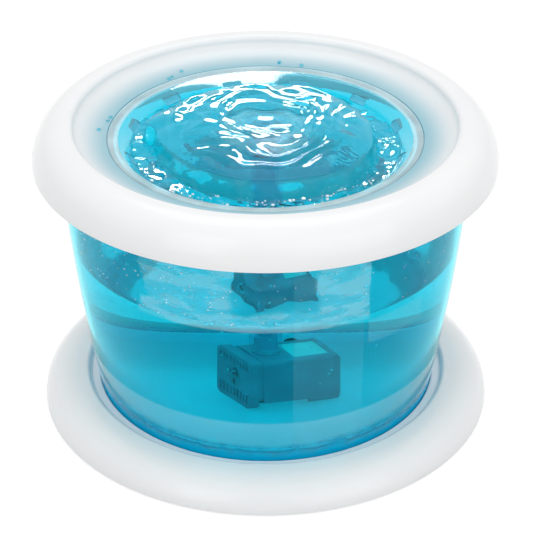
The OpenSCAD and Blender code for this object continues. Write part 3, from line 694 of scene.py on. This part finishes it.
def makeTopRing():
    s = topSize
    seatR, seatZ, ledgeR, bevel, wall = s["seatR"], s["seatZ"], s["ledgeR"], s["bevel"], s["wall"]
    outline = topSkin(0.0) + [(seatR, seatZ), (ledgeR + bevel, seatZ), (ledgeR, seatZ - bevel),
                              (ledgeR, seatZ - wall), (seatR + wall, seatZ - wall)]
    outline += topSkin(wall)[:-1][::-1]
    pieces = [lathe("skin", outline, 256)]
    crest = s["edgeZ"] + s["rollH"] - wall / 2
    gap = math.degrees(math.asin(s["cableHalf"] / s["collarR"]))
    collarIn = s["collarR"] - s["collarT"]
    collar = [(collarIn, s["collarZ"]), (s["collarR"], s["collarZ"]), (s["collarR"], crest),
              (collarIn, crest - 0.4)]
    pieces.append(lathe("collar", collar, 192, None, 90 + gap, 360 - 2 * gap))
    roll = topSkin(wall / 2)[:s["rollSteps"] + 1]
    mid = [p for p in roll if p[1] >= s["ribZ"]]
    ribIn = s["collarR"] - s["collarT"] / 2
    rib = [(ribIn, s["ribZ"]), (mid[0][0], s["ribZ"])] + mid + [(ribIn, mid[-1][1])]
    for i in range(s["ribs"]):
        pieces.append(plate("rib", rib, s["ribT"], (i + 0.5) * 360 / s["ribs"]))
    piece = join("topMoulding", pieces)
    dress(piece, finishes["funnel"])
    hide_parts("top_ring")
    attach(piece, "top_ring")


dishSize = {"rimR": 91.2, "rimZ": 172.4, "rimT": 1.6, "bodyR": 87.1, "slopeR": 88.5, "troughOutR": 58.0,
            "troughInR": 50.0, "troughZ": 149.0, "depth": 23.4, "hillH": 21.0, "hillTopR": 14.0,
            "thick": 2.6, "boreR": 7.05, "sleeveR": 9.55, "sleeveZ": 156.0, "bevel": 0.3, "steps": 36,
            "rimRows": 9, "slots": 12, "slotW": 12.0, "slotR": 66.0, "slotZ": 165.0, "slotH": 3.4}


def dishFace(r):
    s = dishSize
    if r > s["troughInR"]:
        return s["troughZ"] + s["depth"] * ease((r - s["troughOutR"]) / (s["slopeR"] - s["troughOutR"]))
    return s["troughZ"] + s["hillH"] * ease((s["troughInR"] - r) / (s["troughInR"] - s["hillTopR"]))


def makeDish():
    s = dishSize
    bodyR, rimR, rimZ, thick, bevel = s["bodyR"], s["rimR"], s["rimZ"], s["thick"], s["bevel"]
    boreR, sleeveR, sleeveZ = s["boreR"], s["sleeveR"], s["sleeveZ"]
    rimLow, hill = rimZ - s["rimT"], s["troughZ"] + s["hillH"]
    radii = spread(s["slopeR"], s["troughOutR"], s["steps"])
    radii += spread(s["troughInR"], s["hillTopR"], s["steps"])
    under = [r for r in radii if r < bodyR]
    outline = [(bodyR, rimLow), (rimR - 0.2, rimLow), (rimR, rimLow + 0.2), (rimR, rimZ - 0.4),
               (rimR - 0.4, rimZ)]
    outline += [(r, dishFace(r)) for r in radii]
    outline += [(boreR + bevel, hill), (boreR, hill - bevel), (boreR, sleeveZ), (sleeveR - bevel, sleeveZ),
                (sleeveR, sleeveZ + bevel), (sleeveR, hill - thick - 0.4), (sleeveR + 0.8, hill - thick)]
    outline += [(r, dishFace(r) - thick) for r in under[::-1]]
    outline += [(bodyR, dishFace(bodyR) - thick)]
    rimBack = len(outline) - 3
    piece = lathe("dishShell", outline, 240, second=lambda row: row < s["rimRows"] or row >= rimBack)
    dress(piece, finishes["dish"], finishes["rim"])
    low = (s["slotR"], -s["slotW"] / 2, s["slotZ"])
    high = (bodyR, s["slotW"] / 2, s["slotZ"] + s["slotH"])
    cut(piece, [block("slot", low, high, (i + 0.5) * 360 / s["slots"]) for i in range(s["slots"])])
    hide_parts("drinking_dish")
    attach(piece, "dish")
    return piece


# the water creeps up the wall by rise, over the steps inward from it
poolSize = {"level": 110.0, "gap": 0.2, "rise": 2.2, "creep": 1.6,
            "creepSteps": (0.4, 0.8, 1.4, 2.2, 3.2, 4.6, 6.0), "floorZ": 16.0, "floorR": 60.0, "wallZ": 23.0,
            "fillet": 6.0, "wave": 0.9, "wavePitch": 20.0, "chop": 0.32, "chopPitch": 10.0}


def makeReservoir():
    s = poolSize
    floor, high, level, fillet = s["floorZ"], s["wallZ"], s["level"], s["fillet"]
    inset = bowlSize["wall"] + s["gap"]
    outline = [(0.0, floor), (s["floorR"], floor), (bowlR(high) - inset - fillet, floor)]
    outline += arc(bowlR(high) - inset - fillet, high, fillet, fillet, -75, -6)
    wallFrom = len(outline) - 1
    outline += [(bowlR(z) - inset, z) for z in spread(high + 0.5, level + s["rise"], 24)]
    edge = bowlR(level) - inset
    outline += [(edge - d, level + s["rise"] * math.exp(-d / s["creep"])) for d in s["creepSteps"]]
    flat = len(outline)
    outline += [(r, level) for r in spread(edge - 8, 1.5, 70)]
    outline += [(0.0, level)]

    def ripple(row, r, z, angle):
        if row < flat:
            return r, z
        x, y = r * math.cos(angle), r * math.sin(angle)
        fade = min(1.0, (edge - r - 6) / 10)
        wave = s["wave"] * swell(x, y, s["wavePitch"], 3.1)
        wave += s["chop"] * swell(1.6 * x, 1.1 * y, s["chopPitch"], 7.7)
        return r, z + wave * fade

    def onPlastic(row):
        return row < wallFrom or row == len(outline) - 1

    piece = lathe("reservoirWater", outline, 224, ripple, second=onPlastic)
    dress(piece, water, contact)
    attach(piece, "bowl")


domeSize = {"level": 165.0, "poolR": 79.3, "mouthZ": 176.9, "mouthR": 14.4, "gap": 0.25,
            "eyeZ": 186.0, "edgeZ": 177.0, "eyeR": 13.0, "dimple": 1.3, "dimpleR": 7.0, "calmR": 61.0,
            "ringWave": 0.85, "ringPitch": 12.0, "ringDrift": 1.5, "chop": 0.9, "chopPitch": 12.0,
            "foot": 5.0, "fold": 2.5, "foldPitch": 9.0, "lap": 1.5, "lapPitch": 13.0, "froth": 0.8,
            "frothPitch": 5.0}
# radius of the sheet's edge by direction, in degrees from the right (+X), towards the back at 90
domeEdge = [(0, 60), (30, 57), (60, 56), (90, 55), (120, 57), (150, 60), (172, 68), (185, 62), (205, 60),
            (235, 61), (262, 63), (285, 64), (310, 66), (335, 63), (360, 60)]


def edgeAt(angle):
    a = math.degrees(angle) % 360
    for (a0, r0), (a1, r1) in zip(domeEdge, domeEdge[1:]):
        if a0 <= a <= a1:
            return r0 + (r1 - r0) * ease((a - a0) / (a1 - a0))
    return domeEdge[0][1]


def domeWave(x, y, r):  # rings round the eye, stronger in some places, with chop between them
    s = domeSize
    calm = ease((r - s["eyeR"]) / 10) * ease((s["calmR"] - r) / 12)
    drift = s["ringDrift"] * swell(x, y, 30.0, 4.0)
    ring = s["ringWave"] * math.sin(math.tau * (r / s["ringPitch"] + drift))
    group = 0.45 + 1.2 * max(0.0, swell(x, y, 18.0, 11.0) + 0.2)
    chop = s["chop"] * swell(x, 1.5 * y, s["chopPitch"], 2.0)
    return calm * (ring * group + chop)


def makeDome():
    s, d = domeSize, dishSize
    level, poolR = s["level"], s["poolR"]
    bottomR = spread(s["mouthR"] + 0.2, d["troughInR"], 24) + spread(d["troughOutR"], poolR, 18)
    bottom = [(0.0, s["mouthZ"]), (s["mouthR"], s["mouthZ"])]
    bottom += [(r, dishFace(r) + s["gap"]) for r in bottomR]
    bottom[-1] = (poolR, level - 0.2)
    rows = [("pool", t) for t in spread(0.0, 1.0, 16)] + [("fall", t) for t in spread(0.0, 1.0, 12)[1:]]
    rows += [("top", t) for t in spread(0.0, 1.0, 76)[1:]]
    outline = bottom + [(poolR + 0.1, level + 0.4)] * len(rows)

    def shape(row, r, z, angle):
        if row < len(bottom):
            return r, z
        kind, t = rows[row - len(bottom)]
        edge = edgeAt(angle)
        x, y = math.cos(angle), math.sin(angle)
        fold = swell(60 * x, 60 * y, s["foldPitch"], 21.0)  # curtains where the sheet falls
        foot = min(edge + s["foot"] + s["fold"] * fold, poolR - 2.0)
        if kind == "pool":
            r = poolR + 0.2 + (foot - poolR) * t
            wave = s["lap"] * swell(r * x, r * y, s["lapPitch"], 1.0)
            wave += s["froth"] * swell(r * x, r * y, s["frothPitch"], 6.0)
            return r, level + 0.5 * math.exp(-8 * t) + wave * min(1.0, 4 * t)
        if kind == "fall":
            r = foot + (edge - foot) * t
            return r, level + (s["edgeZ"] - level) * ease(t) ** 0.8
        r = edge * (1 - t)
        z = s["edgeZ"] + (s["eyeZ"] - s["edgeZ"]) * (1 - (r / edge) ** 4)
        z -= s["dimple"] * math.exp(-(r / s["dimpleR"]) ** 2)
        return r, z + domeWave(r * x, r * y, r)

    piece = lathe("dishWater", outline, 288, shape, second=lambda row: row < len(bottom))
    dress(piece, water, contact)
    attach(piece, "dish")
    return piece


# slanting sheets of water on their way out through the slots
spillSize = {"inner": (77.4, 165.2), "outer": (80.2, 168.2), "thick": 0.8, "width": 11.6}


def makeSpill():
    s, slots = spillSize, dishSize["slots"]
    (r0, z0), (r1, z1), thick = s["inner"], s["outer"], s["thick"]
    sheet = [(r0, z0), (r1, z1), (r1 + thick, z1), (r0 + thick, z0)]
    sheets = [plate("sheet", sheet, s["width"], (i + 0.5) * 360 / slots) for i in range(slots)]
    piece = join("slotSpill", sheets)
    dress(piece, spill)
    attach(piece, "dish")


# partly painted highlight: drops are mostly white diffuse, so the wall's drops show as bright specks; froth
# and bubbles share the finish
dropLook = {"tint": colour(0.9, 0.985, 1.0), "shadow": colour(0.97, 0.99, 1.0), "clear": 0.3, "seed": 11}
# counts, directions in degrees from the right, radii, heights and sizes in millimetres
wallDrops = {
    "wallDropsLeft": {"count": 190, "angles": (186, 262), "heights": (113, 161), "sizes": (0.14, 0.5)},
    "wallDropsRight": {"count": 70, "angles": (262, 352), "heights": (113, 161), "sizes": (0.14, 0.42)},
    "wallDropsBack": {"count": 50, "angles": (10, 170), "heights": (114, 160), "sizes": (0.25, 0.7)},
}
# on the white funnel, in reach of the dish; low and rise follow its slope
splashDrops = {"count": 9, "angles": (62, 178), "start": 93.0, "reach": 4.375, "low": 172.8, "rise": 7.7,
               "sizes": (0.8, 1.4)}
# where the sheet falls into the dish
frothDrops = {"count": 80, "angles": (205, 335), "radii": (66, 78), "height": 165.6, "sizes": (0.35, 1.35)}
# bubbles just under the water's surface and round the pump
pondDrops = {"count": 110, "angles": (180, 360), "radii": (60, 108), "top": 108.0, "depth": 60,
             "sizes": (0.25, 0.85)}


def dropFinish():
    f = newFinish("waterDrops")
    haze = f.cloud(500.0)
    # painted highlight: the tint is mixed with white, and only part of the light passes
    solid = f.surface({"Base Color": f.blend(haze, dropLook["tint"], white), "Roughness": 0.02 + 0.03 * haze,
                       "IOR": 1.333, "Transmission Weight": dropLook["clear"]})
    return f.finish(f.lit(solid, dropLook["shadow"]))


def beads(name, body, spots, finish):
    # spots are (place, outward, radius) in millimetres; a bead is flatter along outward
    form = bmesh.new()
    for place, outward, radius in spots:
        turn = outward.to_track_quat("Z", "Y").to_matrix().to_4x4()
        shape = Matrix.Translation(place * mm) @ turn @ Matrix.Diagonal((1, 1, 0.6, 1))
        bmesh.ops.create_icosphere(form, subdivisions=2, radius=radius * mm, matrix=shape)
    mesh = bpy.data.meshes.new(name)
    form.to_mesh(mesh)
    form.free()
    shadeSmooth(mesh)
    piece = addObject(name, mesh)
    dress(piece, finish)
    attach(piece, body)


def makeDrops():
    finish = dropFinish()
    draw = random.Random(dropLook["seed"])
    up = Vector((0, 0, 1))

    def size(group, power):  # mostly small ones
        low, high = group["sizes"]
        return low + (high - low) * draw.random() ** power

    for name, group in wallDrops.items():
        spots = []
        for _ in range(group["count"]):
            z = draw.uniform(*group["heights"])
            place, outward = around(draw.uniform(*group["angles"]), bowlR(z) + 0.05, z)
            spots.append((place, outward, size(group, 2)))
        beads(name, "bowl", spots, finish)
    spots, group = [], splashDrops
    slope = throatR() - topSize["seatR"]
    for _ in range(group["count"]):
        radius = group["start"] + group["reach"] * draw.random() ** 2
        along = (radius - topSize["seatR"]) / slope
        z = group["low"] + group["rise"] * (1 - math.sqrt(1 - along ** 2))
        place = around(draw.uniform(*group["angles"]), radius, z)[0]
        spots.append((place, up, draw.uniform(*group["sizes"])))
    beads("funnelDrops", "top_ring", spots, blueDrop)
    spots, group = [], frothDrops
    for _ in range(group["count"]):
        angle, radius = draw.uniform(*group["angles"]), draw.uniform(*group["radii"])
        spots.append((around(angle, radius, group["height"])[0], up, size(group, 3)))
    beads("dishFroth", "dish", spots, finish)
    spots, group = [], pondDrops
    for _ in range(group["count"]):
        angle, radius = draw.uniform(*group["angles"]), draw.uniform(*group["radii"])
        z = group["top"] - group["depth"] * draw.random() ** 2
        spots.append((around(angle, radius, z)[0], up, size(group, 2)))
    beads("pondBubbles", "bowl", spots, finish)


# azimuth 0 is the front, and power is in watts
lampLook = {
    "left": {"azimuth": -31, "elevation": 27, "far": 2.0, "size": (0.95, 1.6), "power": 4.8},
    "right": {"azimuth": 36, "elevation": 25, "far": 2.0, "size": (1.7, 1.7), "power": 6.5},
    "over": {"azimuth": 180, "elevation": 72, "far": 2.0, "size": (1.6, 1.2), "power": 6},
}
# small bright cards that only one piece mirrors
glintLook = {
    "domeGlint": {"azimuth": 180, "elevation": 56, "far": 2.0, "size": (0.8, 0.5), "power": 60},
    "lowGlint": {"azimuth": 180, "elevation": 13, "far": 2.0, "size": (1.1, 0.28), "power": 24},
    "dishGlint": {"azimuth": 90, "elevation": 80, "far": 2.0, "size": (1.9, 1.1), "power": 150},
}
lampAim = Vector((0, 0, 0.09))


def addLamp(name, look):
    data = bpy.data.lights.new(name, "AREA")
    data.shape = "RECTANGLE"
    data.size, data.size_y = look["size"]
    data.energy = look["power"]
    lamp = addObject(name, data)
    a, e = math.radians(look["azimuth"]), math.radians(look["elevation"])
    way = Vector((math.sin(a) * math.cos(e), -math.cos(a) * math.cos(e), math.sin(e)))
    lamp.location = lampAim + way * look["far"]
    lamp.rotation_euler = way.to_track_quat("Z", "Y").to_euler()
    return lamp


def addGlint(name, piece):
    lamp = addLamp(name, glintLook[name])
    lamp.visible_camera = lamp.visible_diffuse = lamp.visible_transmission = False
    group = bpy.data.collections.new(name + "Mirror")
    group.objects.link(piece)
    lamp.light_linking.receiver_collection = group


# how bright the surroundings are as light, to the eye and in mirrors
worldLook = {"light": 0.84, "shown": 1.0, "gloss": 0.5}


def addWorld():
    look = worldLook
    f = Finish(bpy.data.worlds.new("studio"))
    mirrored = look["gloss"] * f.light("Is Glossy Ray")
    seen = f.clamp(f.light("Is Camera Ray") + f.light("Is Transmission Ray") + mirrored)
    strength = look["light"] + seen * (look["shown"] - look["light"])
    back = f.node("ShaderNodeBackground", {}, {"Color": white, "Strength": strength})
    f.node("ShaderNodeOutputWorld", {}, {"Surface": back})
    scene.world = f.owner


# lift is the floor's own light to the eye, through the same as seen through clear plastic
floorLook = {"colour": colour(0.55, 0.55, 0.55), "lift": 0.62, "through": 0.95, "half": 6}


def addFloor():
    look, half = floorLook, floorLook["half"]
    f = newFinish("studioFloor")
    through = f.light("Is Transmission Ray")
    seen = f.clamp(f.light("Is Camera Ray") + f.light("Is Glossy Ray") + through)
    lift = seen * look["lift"] + through * (look["through"] - look["lift"])
    glow = f.node("ShaderNodeEmission", {}, {"Color": white, "Strength": lift})
    material = f.finish(f.node("ShaderNodeAddShader", {}, {0: f.diffuse(look["colour"]), 1: glow}))
    mesh = bpy.data.meshes.new("floor")
    corners = [(-half, -half, 0), (half, -half, 0), (half, half, 0), (-half, half, 0)]
    mesh.from_pydata(corners, [], [(0, 1, 2, 3)])
    floor = addObject("floor", mesh)
    floor.data.materials.append(material)


addCamera()
print("camera: placed")
for name, node in nodes.items():
    dress(node, finishes[wetNodes.get(name, slotOf[name])])
makeBowl()
print("bowl: made")
makeBaseRing()
makeTopRing()
print("rings: made")
dish = makeDish()
print("dish: made")
makeReservoir()
dome = makeDome()
makeSpill()
makeDrops()
print("water: made")
for name, look in lampLook.items():
    addLamp(name, look)
addGlint("domeGlint", dome)
addGlint("lowGlint", dome)
addGlint("dishGlint", dish)
addWorld()
addFloor()
scene.view_settings.view_transform = "Standard"
print("studio: made")
